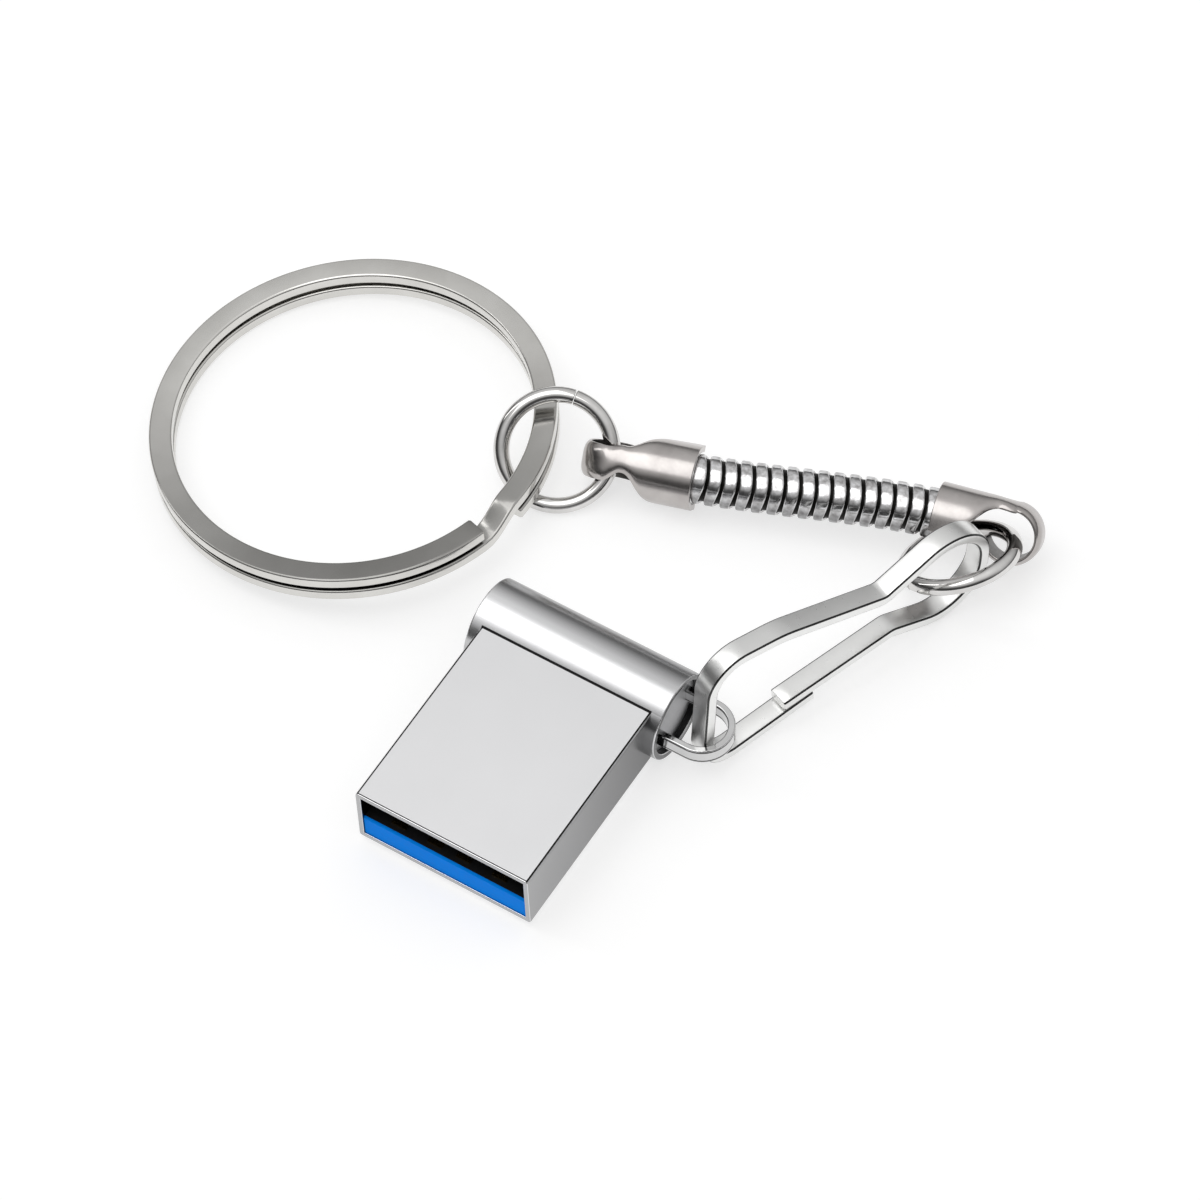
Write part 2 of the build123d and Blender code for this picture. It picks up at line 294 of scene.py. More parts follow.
def shade_faces(material, facing, direction, span, tones):
    """Paints shade on the faces that look along facing, graded over a span in millimetres along direction.
    """
    nodes, links = material.node_tree.nodes, material.node_tree.links
    coordinates = nodes.new("ShaderNodeTexCoord")
    tone = graded_tone(nodes, links, coordinates, direction, span, tones)
    look = along_direction(nodes, links, coordinates.outputs["Normal"], facing)
    size = math_node(nodes, links, "ABSOLUTE", look)
    multiply_colour(material, map_range(nodes, links, size, FACING_SPAN, (0.0, 1.0)), tone)


def object_parts(nodes, links):
    """Texture coordinates, and their object place split into X, Y and Z."""
    coordinates = nodes.new("ShaderNodeTexCoord")
    parts = nodes.new("ShaderNodeSeparateXYZ")
    links.new(coordinates.outputs["Object"], parts.inputs["Vector"])
    return coordinates, parts


def box_mask(nodes, links, parts, limits):
    """1 inside a box: limits are (axis, low, high) in millimetres of the absolute place."""
    mask = 1.0
    for axis, low, high in limits:
        value = math_node(nodes, links, "ABSOLUTE", parts.outputs[axis])
        above = math_node(nodes, links, "GREATER_THAN", value, low * MM)
        below = math_node(nodes, links, "LESS_THAN", value, high * MM)
        between = math_node(nodes, links, "MULTIPLY", above, below)
        mask = math_node(nodes, links, "MULTIPLY", between, mask)
    return mask


def shade_boxes(material, boxes, tone):
    """Paints shade on the surface inside boxes of object space, by a tone or by (direction, span, tones)."""
    nodes, links = material.node_tree.nodes, material.node_tree.links
    coordinates, parts = object_parts(nodes, links)
    total = 0.0
    for limits in boxes:
        total = math_node(nodes, links, "MAXIMUM", box_mask(nodes, links, parts, limits), total)
    if isinstance(tone, tuple):
        tone = graded_tone(nodes, links, coordinates, *tone)
    multiply_colour(material, total, tone)


def shade_bore(material):
    """Paints shade on the wall of the round recess in front of each end disc."""
    nodes, links = material.node_tree.nodes, material.node_tree.links
    _, parts = object_parts(nodes, links)
    along = math_node(nodes, links, "SUBTRACT", parts.outputs["Y"], BARREL_Y * MM)
    square = math_node(nodes, links, "MULTIPLY", along, along)
    height_square = math_node(nodes, links, "MULTIPLY", parts.outputs["Z"], parts.outputs["Z"])
    radius = math_node(nodes, links, "SQRT", math_node(nodes, links, "ADD", square, height_square))
    within = math_node(nodes, links, "LESS_THAN", radius, RECESS_RADIUS * MM)
    deep = box_mask(nodes, links, parts, [("X", *RECESS_SPAN)])
    multiply_colour(material, math_node(nodes, links, "MULTIPLY", within, deep), RECESS_SHADE_TONE)


PLUG_TOP = 2.25
PLUG_SPAN = (0.0, 13.0)
PLUG_REAR = (0, 0.77, 0.64)
REAR_SPAN = (13.0, 18.0)
MOUTH_HALF_WIDTH = 5.7
MOUTH_HALF_HEIGHT = 1.95
SIDE_LINE = (5.83, 5.93)
FRONT_LINE = (0.08, 0.15)
BARREL_Y = 15.45
BARREL_RADIUS = 2.85
SEAM_Y = BARREL_Y - sqrt(BARREL_RADIUS ** 2 - PLUG_TOP ** 2)
RECESS_RADIUS = 2.52
RECESS_SPAN = (5.5, 6.62)
# tone of the painted shade in the recess in front of each end disc
RECESS_SHADE_TONE = 0.05
TOP_EDGE = ("Z", PLUG_TOP - 0.1, PLUG_TOP + 0.1)

shell_metal = metal(
    "satin_shell", (0.83, 0.83, 0.84), (0.80, 0.80, 0.81), (0.23, 0.26), grain=12.0, mottle=0.15, bump=0.004
)
# painted shade: the plug's side faces darker towards the barrel, its faces that look along Y darker, and the
# barrel's rear darker
shade_faces(shell_metal, ALONG_X, ALONG_Y, PLUG_SPAN, (0.42, 0.16))
shade_faces(shell_metal, ALONG_Y, ALONG_Y, PLUG_SPAN, (0.62, 0.62))
shade_faces(shell_metal, PLUG_REAR, ALONG_Y, REAR_SPAN, (0.5, 0.5))
# painted shade inside the mouth
shade_boxes(
    shell_metal,
    [[("X", UNBOUNDED, MOUTH_HALF_WIDTH), ("Y", 0.1, SEAM_Y), ("Z", UNBOUNDED, MOUTH_HALF_HEIGHT)]],
    0.08,
)
# painted shade: thin dark lines along the seam with the barrel and along the edges of the plug's broad faces
shade_boxes(
    shell_metal,
    [
        [("X", UNBOUNDED, 5.95), ("Y", SEAM_Y - 0.10, SEAM_Y + 0.06), TOP_EDGE],
        [("X", *SIDE_LINE), ("Y", 0.05, SEAM_Y), TOP_EDGE],
        [("X", UNBOUNDED, SIDE_LINE[1]), ("Y", *FRONT_LINE), TOP_EDGE],
    ],
    SHADE_LINE_TONE,
)
# painted light and shade: the barrel brighter at its left end and darker towards its right end
shade_boxes(
    shell_metal,
    [[("X", UNBOUNDED, 6.8), ("Y", SEAM_Y, 20.0), ("Z", UNBOUNDED, 3.0)]],
    (ALONG_X, (-7.0, 7.0), (0.98, 0.76)),
)
# painted shade in the recess in front of each end disc
shade_bore(shell_metal)
disc_metal = metal(
    "stamped_disc", (0.52, 0.52, 0.53), (0.47, 0.47, 0.48), (0.42, 0.50), grain=12.0, mottle=0.4, bump=0.02
)
loop_metal = metal(
    "polished_loop", (0.66, 0.66, 0.66), (0.60, 0.60, 0.60), (0.08, 0.13), grain=5.0, mottle=0.6, bump=0.02
)
# painted shade: thin dark bands along the loop's sides, at heights between 0.37 and 0.48 mm above and below
# the middle
shade_boxes(loop_metal, [[("Z", 0.37, 0.48)]], 0.05)
strip_metal = metal(
    "hook_strip", (0.84, 0.84, 0.83), (0.79, 0.79, 0.78), (0.27, 0.33), grain=3.0, mottle=0.5, bump=0.02
)
# painted shade: a near-black copy of the strip metal for the strip's rounded corners
strip_edge_shade = metal(
    "hook_strip_edge_shade", (0.07, 0.07, 0.07), (0.04, 0.04, 0.04), (0.25, 0.35), grain=3.0, mottle=0.5, bump=0.02
)
wire_metal = metal(
    "ring_wire", (0.74, 0.73, 0.72), (0.60, 0.59, 0.58), (0.04, 0.09), grain=3.0, mottle=0.7, bump=0.03
)
clip_metal = metal(
    "clip_plate", (0.54, 0.515, 0.50), (0.42, 0.395, 0.385), (0.17, 0.25), grain=5.0, mottle=0.5, bump=0.04
)
# painted shade: a darker copy of the clip plate for the strap's inner side
clip_inside_shade = metal(
    "clip_inside_shade", (0.17, 0.165, 0.16), (0.10, 0.095, 0.09), (0.28, 0.40), grain=5.0, mottle=0.7, bump=0.05
)
chain_metal = metal(
    "chain_plate", (0.86, 0.86, 0.87), (0.40, 0.39, 0.39), (0.08, 0.20), grain=7.0, mottle=2.6, bump=0.14
)
# painted shade: the chain's faces that look down and towards the front are darker
CHAIN_SHADE_FACING = (0.27, -0.92, -0.28)
shade_faces(chain_metal, CHAIN_SHADE_FACING, ALONG_X, (-40.0, 40.0), (0.42, 0.42))
# painted shade: a near-black copy of the chain metal for the inside of each link
core_shade = metal(
    "chain_core_shade", (0.020, 0.019, 0.018), (0.008, 0.008, 0.007), (0.5, 0.65), grain=6.0, mottle=1.2, bump=0.1
)
ring_metal = metal(
    "key_ring_plate", (0.70, 0.69, 0.665), (0.62, 0.61, 0.585), (0.14, 0.20),
    grain=8.0, mottle=0.35, bump=0.04,
)
# painted shade: the key ring's top face darker towards its front
KEY_RING_SHADE_WAY = (0.6, -0.8, 0)
shade_faces(ring_metal, ALONG_Z, KEY_RING_SHADE_WAY, (-36.0, -19.0), (0.97, 0.34))
blue_plastic = plastic(
    "blue_insulator_plastic", (0.0005, 0.27, 1.0), (0.0004, 0.25, 0.95), (0.45, 0.55),
    bump=0.02, specular=0.03,
)
gold_contact = metal(
    "gold_contact", (0.86, 0.62, 0.26), (0.74, 0.50, 0.20), (0.15, 0.25), grain=6.0, mottle=1.0, bump=0.05
)
board_mask = plastic("solder_mask", (0.010, 0.055, 0.03), (0.006, 0.035, 0.02), (0.3, 0.45))
# near-black epoxy of the chip packages, also used as painted shade on the contact board in the plug's mouth
epoxy_and_mouth_shade = plastic(
    "moulded_epoxy_and_mouth_shade", (0.012, 0.012, 0.013), (0.006, 0.006, 0.007), (0.6, 0.75),
    speck=5.0, bump=0.2, specular=0.2,
)

cad_finish = {
    "drive_shell": shell_metal,
    "tongue_insulator": blue_plastic,
    "circuit_board": board_mask,
    # the contact board takes the near-black epoxy as painted shade in the plug's mouth
    "contact_board": epoxy_and_mouth_shade,
    "end_disc_right": disc_metal,
    "end_disc_left": disc_metal,
    "lanyard_loop": loop_metal,
}
for node_name, node in frame["nodes"].items():
    finish = cad_finish.get(node_name)
    if finish is None:
        is_contact = node_name.startswith("plug_pad") or node_name.startswith("fast_contact")
        is_package = node_name.endswith("_chip") or node_name.startswith(("crystal", "capacitor"))
        finish = gold_contact if is_contact else epoxy_and_mouth_shade if is_package else clip_metal
    node.data.materials.clear()
    node.data.materials.append(finish)


# ---- hook strip ------------------------------------------------------------------------------
STRIP_WIDTH = 1.4
STRIP_THICKNESS = 0.75
STRIP_CORNER = 0.15
GATE_ROOT = (14.3, -2.25)
GATE_TIP = (6.1, -3.1)
HOOK_PATH = (
    (8.35, -3.7), (0.375, -4.9), (0.375, 4.85), (5.6, 4.25), (13.5, 1.65), (21.2, 4.86), (21.2, -4.86),
    GATE_ROOT, GATE_TIP,
)
HOOK_BENDS = (1.9, 2.2, 8.0, 1.0, 3.1, 3.1, 1.0)
GATE_SPLIT = 14.9
PIVOT_ALONG = 13.085
HOOK_HEADING = 69.5
HOOK_PITCH = -4.6
BEND_STEP = 0.12
RUN_STEP = 0.8

hook_across = -joint_axis("gate_press")
hook_along = heading_vector(HOOK_HEADING, HOOK_PITCH)
hook_up = hook_across.cross(hook_along)
gate_height = (
    GATE_ROOT[1]
    + (GATE_TIP[1] - GATE_ROOT[1]) * (GATE_ROOT[0] - PIVOT_ALONG) / (GATE_ROOT[0] - GATE_TIP[0])
)
hook_origin = joint_point("gate_press") - hook_along * PIVOT_ALONG - hook_up * gate_height


def filleted_path(corners, bends):
    """Samples (x, y, direction angle) of a polyline with rounded corners."""
    samples = []

    def add_run(start, end):
        length = hypot(end[0] - start[0], end[1] - start[1])
        angle = atan2(end[1] - start[1], end[0] - start[0])
        count = max(1, ceil(length / RUN_STEP))
        for i in range(count):
            share = i / count
            x = start[0] + (end[0] - start[0]) * share
            y = start[1] + (end[1] - start[1]) * share
            samples.append((x, y, angle))

    here = corners[0]
    for before, corner, after, bend in zip(corners, corners[1:], corners[2:], bends):
        a = Vector((before[0] - corner[0], before[1] - corner[1])).normalized()
        b = Vector((after[0] - corner[0], after[1] - corner[1])).normalized()
        half = acos(max(-1.0, min(1.0, a.dot(b)))) / 2
        reach = bend / tan(half)
        enter = (corner[0] + a.x * reach, corner[1] + a.y * reach)
        leave = (corner[0] + b.x * reach, corner[1] + b.y * reach)
        add_run(here, enter)
        turn = pi - 2 * half
        side = 1 if (-a.x) * b.y - (-a.y) * b.x > 0 else -1
        start_angle = atan2(-a.y, -a.x)
        centre = (enter[0] - side * bend * sin(start_angle), enter[1] + side * bend * cos(start_angle))
        count = max(3, ceil(turn * bend / BEND_STEP))
        for i in range(count):
            angle = start_angle + side * turn * i / count
            x = centre[0] + side * bend * sin(angle)
            y = centre[1] - side * bend * cos(angle)
            samples.append((x, y, angle))
        here = leave
    add_run(here, corners[-1])
    last_angle = atan2(corners[-1][1] - here[1], corners[-1][0] - here[0])
    samples.append((corners[-1][0], corners[-1][1], last_angle))
    return samples


def hook_stations(samples):
    """Stations (origin, x direction, y direction) along the hook's strip."""
    stations = []
    for x, y, angle in samples:
        origin = hook_origin + hook_along * x + hook_up * y
        normal = hook_along * -sin(angle) + hook_up * cos(angle)
        stations.append((origin, hook_across, normal))
    return stations


def edge_slots(ring_count):
    """Material slots of a lofted strip: 1, the painted shade, along the middle of its rounded corners."""
    corner = len(strip_outline) // 4
    per_ring = [1 if j % corner in (1, 2, 3) else 0 for j in range(4 * corner)]
    return per_ring * (ring_count - 1) + [0, 0]


strip_outline = rounded_rectangle(STRIP_WIDTH, STRIP_THICKNESS, STRIP_CORNER)
hook_samples = filleted_path(HOOK_PATH, HOOK_BENDS)
split = next(i for i in range(len(hook_samples) - 1, 0, -1) if hook_samples[i][0] > GATE_SPLIT)
frame_rings = sweep_rings(hook_stations(hook_samples[: split + 1]), strip_outline)
gate_rings = sweep_rings(hook_stations(hook_samples[split:]), strip_outline)
hook_rings = soft_ends(frame_rings)[:-2] + frame_rings[-1:]
hook_slots = edge_slots(len(hook_rings))
hook_strip = add_piece("hook_strip", *loft(hook_rings), [strip_metal, strip_edge_shade], face_slots=hook_slots)
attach(hook_strip, "hook")
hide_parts("hook_frame")

closing_rings = frame_rings[-1:] + soft_ends(gate_rings)[2:]
gate_slots = edge_slots(len(closing_rings))
gate_strip = add_piece("gate_strip", *loft(closing_rings), [strip_metal, strip_edge_shade], face_slots=gate_slots)
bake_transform(gate_strip)
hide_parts("hook_gate")


# ---- jump rings ------------------------------------------------------------------------------
RING_RADIUS = 3.4
WIRE_RADIUS = 0.5
RING_STEPS = 144
BUTT_GAP = 0.7
WIRE_STEPS = 32
WIRE_END_ROUND = 0.05
NEAR_RING_HEADING = -62
NEAR_RING_PITCH = 50
FAR_BUTT_HEADING = -110
NEAR_BUTT_HEADING = 105


def box_middle(node):
    """Middle of a CAD node's box in millimetres."""
    low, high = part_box(node)
    return (low + high) / 2 / MM


def make_jump_ring(name, node, body, centre, normal, joint_direction):
    """Wire ring whose two cut ends meet towards joint_direction."""
    outward = (joint_direction - normal * joint_direction.dot(normal)).normalized()
    tangent = normal.cross(outward)
    outline = circle_outline(WIRE_RADIUS, WIRE_STEPS)
    stations = []
    for step in range(RING_STEPS + 1):
        angle = radians(BUTT_GAP / 2 + (360 - BUTT_GAP) * step / RING_STEPS)
        direction = outward * cos(angle) + tangent * sin(angle)
        stations.append((centre + direction * RING_RADIUS, direction, normal))
    points, faces = loft(soft_ends(sweep_rings(stations, outline), WIRE_END_ROUND))
    ring = add_piece(name, points, faces, [wire_metal])
    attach(ring, body)
    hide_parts(node)


far_ring_normal = joint_axis("far_clip_slide")
near_ring_normal = heading_vector(NEAR_RING_HEADING, NEAR_RING_PITCH)
make_jump_ring(
    "far_wire_ring", "far_jump_ring", "far_ring",
    joint_point("far_clip_slide"), far_ring_normal, heading_vector(FAR_BUTT_HEADING),
)
make_jump_ring(
    "near_wire_ring", "near_jump_ring", "near_ring",
    box_middle("near_jump_ring"), near_ring_normal, heading_vector(NEAR_BUTT_HEADING),
)

# ---- snake chain -----------------------------------------------------------------------------
LINK_COUNT = 16
LINK_RADIUS = 1.53
LINK_WALL = 0.16
LINK_GAP = 0.19
GAP_FLARE = 0.20
WAVE = 0.20
END_CLEARANCE = 0.05
CORE_RADIUS = 1.32
LINK_STEPS = 96
LINK_SHARP = 50.0
EDGE_ROUND = 0.07
EDGE_BREAK = 0.02
CROWN_RISE = 0.005
CROWN_INSET = 0.13
SLEEVE_PLAY = 0.02
SLEEVE_WALL = 0.32
SLEEVE_ROOT = 0.4
SLEEVE_STEP = 0.62
SLEEVE_REACH = 0.26
# profile points from this one on are the inside of a link, in a near-black painted shade
INSIDE_FROM = 9
# the waves in the gaps are set out from the side of the chain that faces this way
WAVE_FACING = Vector((0.319, -0.430, 0.845))

pivots = {}
for joint_name in JOINTS:
    if joint_name.startswith("chain_"):
        pivots[int(joint_name[-2:])] = joint_point(joint_name)


def link_profile(number, angle, pitch):
    """Points (radius, distance along) of a link's section, at an angle from WAVE_FACING."""
    wave = WAVE * cos(2 * angle)
    half_gap = LINK_GAP / 2 + GAP_FLARE / 2 * sin(angle) ** 4
    start = half_gap + (wave if number > 1 else END_CLEARANCE)
    end = pitch - half_gap + (wave if number < LINK_COUNT else -END_CLEARANCE)
    inner = LINK_RADIUS - LINK_WALL
    return (
        (inner, start + EDGE_BREAK),
        (LINK_RADIUS - EDGE_ROUND, start),
        (LINK_RADIUS - EDGE_BREAK, start + EDGE_BREAK),
        (LINK_RADIUS, start + EDGE_ROUND),
        (LINK_RADIUS + CROWN_RISE, start + CROWN_INSET),
        (LINK_RADIUS + CROWN_RISE, end - CROWN_INSET),
        (LINK_RADIUS, end - EDGE_ROUND),
        (LINK_RADIUS - EDGE_BREAK, end - EDGE_BREAK),
        (LINK_RADIUS - EDGE_ROUND, end),
        (inner, end - EDGE_BREAK),
        (inner, pitch * SLEEVE_STEP + wave),
        (CORE_RADIUS - SLEEVE_PLAY, pitch * SLEEVE_STEP + wave),
        (CORE_RADIUS - SLEEVE_PLAY, pitch + SLEEVE_REACH),
        (CORE_RADIUS - SLEEVE_WALL, pitch + SLEEVE_REACH),
        (CORE_RADIUS - SLEEVE_WALL, pitch * SLEEVE_ROOT + wave),
        (inner, pitch * SLEEVE_ROOT + wave),
    )


def make_link(number):
    """Hollow link with a narrower sleeve that reaches into the next one."""
    start = pivots[number]
    along = pivots[number + 1] - start
    pitch = along.length
    along.normalize()
    facing = (WAVE_FACING - along * WAVE_FACING.dot(along)).normalized()
    side = along.cross(facing)
    rings = []
    for step in range(LINK_STEPS):
        angle = 2 * pi * step / LINK_STEPS
        outward = facing * cos(angle) + side * sin(angle)
        rings.append([start + outward * r + along * z for r, z in link_profile(number, angle, pitch)])
    points, faces = loft(rings, closed=True)
    slots = [1 if j >= INSIDE_FROM else 0 for j in range(len(rings[0]))] * LINK_STEPS
    link = add_piece(f"snake_link_{number:02d}", points, faces, [chain_metal, core_shade], LINK_SHARP, slots)
    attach(link, f"link_{number:02d}")
    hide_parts(f"chain_link_{number:02d}")


for number in range(1, LINK_COUNT + 1):
    make_link(number)

# ---- chain clips -----------------------------------------------------------------------------
CLIP_THICKNESS = 0.4
CLIP_MIDDLE = 1.80
EYE_MIDDLE = 1.74
EYE_HALF_WIDTH = 1.08
EYE_EDGE = 0.26
NECK = 0.18
SHOULDER = 0.9
CLIP_DROP = 0.42
CLIP_LAP = 0.28
CLIP_SHARP = 40.0
CLIP_BEVEL = 0.07
CLIP_COLUMNS = 29
ROLL_STEPS = 46
ROLL_START = 338
ROLL_END = 90
RUN_STEPS = 44
FLAT_CROWN = 12.0
# spans along a clip from its eye, over which its section changes
NECK_SPAN = (-0.2, 0.8)
SHOULDER_SPAN = (0.9, 2.3)
FLANK_SPAN = (1.5, 3.5)
CURL_SPAN = (-0.9, 1.5)
TOP_SPAN = (0, 1.5)
LEAN_END = (1.3, 3.0)
EDGE_FADE = (1.0, 3.0)
FLARE_START = 2.8


def clip_section(x, reach, flare):
    """Half width of the strap and its crown radius at a distance from the eye."""
    full = CLIP_MIDDLE * pi / 2 + CLIP_DROP + flare * smooth_step(x, FLARE_START, reach)
    half = EYE_HALF_WIDTH - NECK * smooth_step(x, *NECK_SPAN) + SHOULDER * smooth_step(x, *SHOULDER_SPAN)
    half += (full - EYE_HALF_WIDTH + NECK - SHOULDER) * smooth_step(x, *FLANK_SPAN)
    curl = smooth_step(x, *CURL_SPAN)
    crown = 1 / (curl / CLIP_MIDDLE + (1 - curl) / FLAT_CROWN)
    return half, crown


def strap_point(x, top, s, crown):
    """Point of the strap's middle surface at arc distance s from its crown line."""
    quarter = crown * pi / 2
    if abs(s) <= quarter:
        return x, top - crown * (1 - cos(s / crown)), crown * sin(s / crown)
    side = 1 if s > 0 else -1
    return x, top - crown - (abs(s) - quarter), side * crown


def make_clip(name, node, body, mouth, along, eye_axis, reach, flare, lean):
    """Strap with a rolled eye at one end and an open channel round the chain at the other."""
    eye_axis = (eye_axis - along * eye_axis.dot(along)).normalized()
    crown_way = eye_axis.cross(along)
    eye = mouth - along * reach
    shares = [2 * j / (CLIP_COLUMNS - 1) - 1 for j in range(CLIP_COLUMNS)]
    rows = []
    round_shares = []
    for i in range(ROLL_STEPS):
        angle = radians(ROLL_START - (ROLL_START - ROLL_END) * i / ROLL_STEPS)
        rows.append([
            (EYE_MIDDLE * cos(angle), EYE_MIDDLE * sin(angle), EYE_HALF_WIDTH * share) for share in shares
        ])
        round_shares.append(1.0)
    run_end = reach + CLIP_LAP
    for i in range(RUN_STEPS + 1):
        x = run_end * i / RUN_STEPS
        top = EYE_MIDDLE + (CLIP_MIDDLE - EYE_MIDDLE) * smooth_step(x, *TOP_SPAN)
        half, crown = clip_section(x, reach, flare)
        shift = lean * smooth_step(x, *NECK_SPAN) * (1 - smooth_step(x, *LEAN_END))
        rows.append([strap_point(x, top, half * share - shift, crown) for share in shares])
        round_shares.append(1 - smooth_step(x, *EDGE_FADE))
    count = len(rows)
    grid = [[Vector(p) for p in row] for row in rows]
    outer = []
    inner = []
    for i in range(count):
        outer_row = []
        inner_row = []
        for j, share in enumerate(shares):
            along_step = grid[min(i + 1, count - 1)][j] - grid[max(i - 1, 0)][j]
            across_step = grid[i][min(j + 1, CLIP_COLUMNS - 1)] - grid[i][max(j - 1, 0)]
            normal = across_step.cross(along_step).normalized()
            rounding = EYE_EDGE * share ** 4 * round_shares[i]
            outer_row.append(grid[i][j] + normal * (CLIP_THICKNESS / 2 - rounding))
            inner_row.append(grid[i][j] - normal * (CLIP_THICKNESS / 2))
        outer.append(outer_row)
        inner.append(inner_row)
    # each row becomes a thin closed ring: over the outer side and back along the inner side
    rings = []
    for outer_row, inner_row in zip(outer, inner):
        ring = outer_row + list(reversed(inner_row))
        rings.append([eye + along * p.x + crown_way * p.y + eye_axis * p.z for p in ring])
    points, faces = loft(rings)
    per_ring = 2 * CLIP_COLUMNS
    # slot 1, the strap's inner side, takes the painted shade
    ring_slots = [1 if CLIP_COLUMNS <= j < per_ring - 1 else 0 for j in range(per_ring)]
    slots = ring_slots * (len(rings) - 1) + [0, 0]
    clip = add_piece(name, points, faces, [clip_metal, clip_inside_shade], CLIP_SHARP, slots)
    edge = clip.modifiers.new("edge", "BEVEL")
    edge.width = CLIP_BEVEL * MM
    edge.segments = 3
    edge.limit_method = "ANGLE"
    edge.angle_limit = radians(50)
    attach(clip, body)
    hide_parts(node)


make_clip(
    "near_clip_strap", "near_chain_clip", "near_clip", pivots[1], heading_vector(16.54, 0.47),
    heading_vector(-75, -40), reach=5.0, flare=0.5, lean=0.5,
)
make_clip(
    "far_clip_strap", "far_chain_clip", "far_clip", pivots[17], heading_vector(-166.44, 0.52),
    heading_vector(75, -40), reach=4.5, flare=0.3, lean=0.0,
)

# ---- split key ring --------------------------------------------------------------------------
KEY_RADIUS = 12.6
COIL_WIDTH = 1.45
COIL_HEIGHT = 0.80
COIL_STEP = 1.12
COIL_CORNER = 0.17
COIL_END_ANGLE = -7.0
RAMP_ANGLE = 13.0
END_GAP = 0.6
LEAN_HEADING = -9.3
LEAN = 5.1
COIL_ANGLE_STEP = 2.0
COIL_END_ROUND = 0.08

key_normal = joint_axis("key_ring_spin")
key_centre = joint_point("key_ring_spin")
key_x = heading_vector(LEAN_HEADING, LEAN)
key_y = key_normal.cross(key_x)
ramp_end = COIL_END_ANGLE + RAMP_ANGLE
turn_arc = 360 - RAMP_ANGLE - END_GAP
coil_start = ramp_end + END_GAP
coil_end = coil_start + turn_arc + RAMP_ANGLE + turn_arc
ramp_start = coil_start + turn_arc
coil_steps = int((coil_end - coil_start) / COIL_ANGLE_STEP)
coil_angles = [coil_start + COIL_ANGLE_STEP * i for i in range(coil_steps)] + [coil_end]
coil_stations = []
for degrees_round in coil_angles:
    rise = COIL_STEP * smooth_step(degrees_round, ramp_start, ramp_start + RAMP_ANGLE)
    outward = key_x * cos(radians(degrees_round)) + key_y * sin(radians(degrees_round))
    origin = key_centre + outward * (KEY_RADIUS - COIL_WIDTH / 2) + key_normal * (rise + COIL_HEIGHT / 2)
    coil_stations.append((origin, outward, key_normal))
coil_outline = rounded_rectangle(COIL_WIDTH, COIL_HEIGHT, COIL_CORNER)
coil_points, coil_faces = loft(soft_ends(sweep_rings(coil_stations, coil_outline), COIL_END_ROUND))
coil = add_piece("split_ring_coil", coil_points, coil_faces, [ring_metal])
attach(coil, "split_ring")
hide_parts("key_ring")

# ---- floor, light and camera -----------------------------------------------------------------
FLOOR_Z = -2.86
FLOOR_SIZE = 4.0
FLOOR_GREYS = (0.50, 0.53)
FLOOR_GLOW = 0.60
SKY_BLEND = 0.35
bpy.ops.mesh.primitive_plane_add(size=FLOOR_SIZE, location=(0, 0.02, FLOOR_Z * MM))
floor = bpy.context.object
floor.name = "floor"
floor_material, floor_nodes, floor_links, floor_shader = new_material("pale_floor")
floor_vector = object_coordinates(floor_nodes, floor_links)
floor_tone = noise(floor_nodes, floor_links, floor_vector, 0.05, 2.0)
floor_colour = noise_ramp(floor_nodes, floor_links, floor_tone, *FLOOR_GREYS)
floor_links.new(floor_colour, floor_shader.inputs["Base Color"])
floor_shader.inputs["Roughness"].default_value = 0.9
floor_shader.inputs["Specular IOR Level"].default_value = 0.1
floor_shader.inputs["Emission Color"].default_value = (1, 1, 1, 1)
floor_shader.inputs["Emission Strength"].default_value = FLOOR_GLOW
floor.data.materials.append(floor_material)

world = bpy.data.worlds.new("studio")
bpy.context.scene.world = world
world.use_nodes = True
world_nodes = world.node_tree.nodes
world_links = world.node_tree.links
sky_direction = world_nodes.new("ShaderNodeTexCoord")
sky_parts = world_nodes.new("ShaderNodeSeparateXYZ")
world_links.new(sky_direction.outputs["Generated"], sky_parts.inputs["Vector"])
front_sky = ramp(
    world_nodes, world_links, sky_parts.outputs["Z"],
    [(0.0, 0.05), (0.25, 0.06), (0.45, 0.11), (0.60, 0.42), (0.75, 0.72), (1.0, 1.0)],
)
rear_sky = ramp(
    world_nodes, world_links, sky_parts.outputs["Z"],
    [(0.0, 0.11), (0.12, 0.14), (0.28, 0.40), (0.50, 0.62), (0.70, 0.72), (0.85, 0.80), (1.0, 1.0)],
)
front_to_rear = world_nodes.new("ShaderNodeMapRange")
front_to_rear.inputs["From Min"].default_value = -SKY_BLEND
front_to_rear.inputs["From Max"].default_value = SKY_BLEND
world_links.new(sky_parts.outputs["Y"], front_to_rear.inputs["Value"])
sky_mix = world_nodes.new("ShaderNodeMix")
sky_mix.data_type = "RGBA"
world_links.new(front_to_rear.outputs["Result"], sky_mix.inputs["Factor"])
world_links.new(front_sky, sky_mix.inputs["A"])
world_links.new(rear_sky, sky_mix.inputs["B"])
world_links.new(sky_mix.outputs["Result"], world_nodes["Background"].inputs["Color"])
world_nodes["Background"].inputs["Strength"].default_value = 1.0


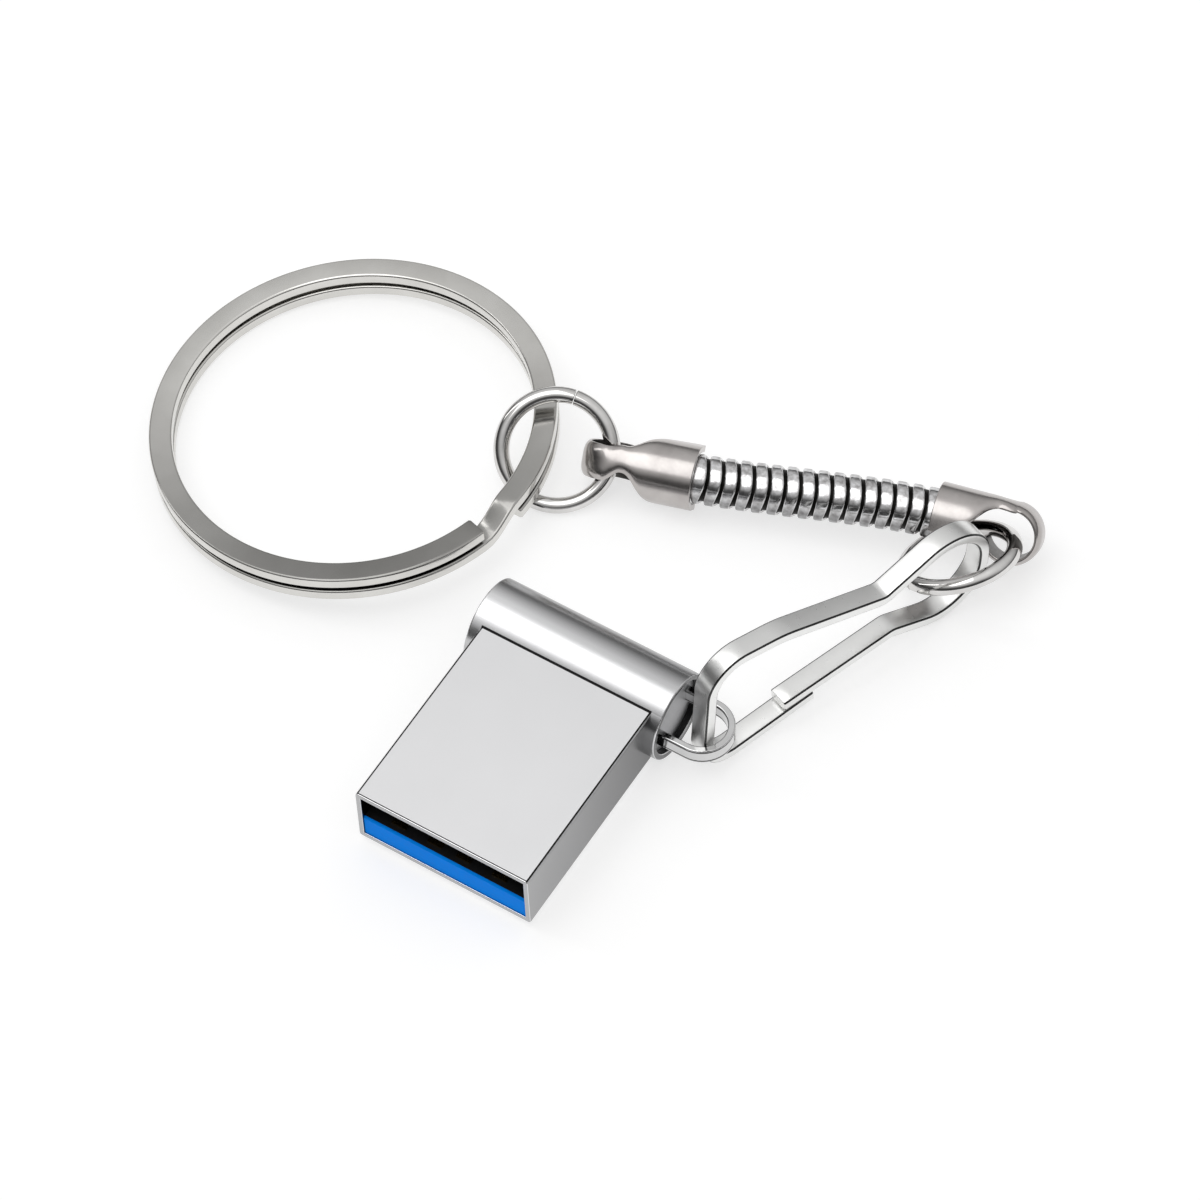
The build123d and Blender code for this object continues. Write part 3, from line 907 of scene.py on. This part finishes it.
def add_light(name, position, target, size, power):
    """Rectangular soft light at a position in millimetres, aimed at a target."""
    data = bpy.data.lights.new(name, "AREA")
    data.shape = "RECTANGLE"
    data.size = size[0] * MM
    data.size_y = size[1] * MM
    data.energy = power
    light = bpy.data.objects.new(name, data)
    bpy.context.scene.collection.objects.link(light)
    light.location = Vector(position) * MM
    light.rotation_euler = (Vector(target) - Vector(position)).to_track_quat("-Z", "Y").to_euler()


add_light("top_box", (-60, -45, 320), (-2, 18, 0), size=(300, 220), power=0.235)
add_light("left_strip", (-280, -40, 190), (-5, 20, 0), size=(50, 180), power=0.06)

VIEW_AZIMUTH = radians(36.51)
VIEW_ELEVATION = radians(57.633)
VIEW_ROLL = radians(-4.725)
VIEW_DISTANCE = 400.0
PIXELS_PER_MM = 16.92
IMAGE_SIZE = 1200
LOOK_AT = Vector((0, 8, 0))
LOOK_OFFSET = (4.96, 9.42)
SENSOR = 36.0

back = Vector((
    sin(VIEW_AZIMUTH) * cos(VIEW_ELEVATION), -cos(VIEW_AZIMUTH) * cos(VIEW_ELEVATION), sin(VIEW_ELEVATION)
))
level_right = Vector((cos(VIEW_AZIMUTH), sin(VIEW_AZIMUTH), 0))
level_up = back.cross(level_right)
right = level_right * cos(VIEW_ROLL) + level_up * sin(VIEW_ROLL)
up = level_up * cos(VIEW_ROLL) - level_right * sin(VIEW_ROLL)
eye_point = LOOK_AT + back * VIEW_DISTANCE
target = LOOK_AT + right * LOOK_OFFSET[0] + up * LOOK_OFFSET[1]
view_back = (eye_point - target).normalized()
view_right = up.cross(view_back).normalized()
view_up = view_back.cross(view_right)
camera_data = bpy.data.cameras.new("camera")
camera_data.sensor_width = SENSOR
camera_data.lens = PIXELS_PER_MM * VIEW_DISTANCE * SENSOR / IMAGE_SIZE
camera_data.clip_start = 0.01
camera_data.clip_end = 10
camera = bpy.data.objects.new("camera", camera_data)
bpy.context.scene.collection.objects.link(camera)
turn = Matrix((view_right, view_up, view_back)).transposed()
camera.matrix_world = Matrix.Translation(eye_point * MM) @ turn.to_4x4()
bpy.context.scene.camera = camera
bpy.context.scene.view_settings.view_transform = "Standard"
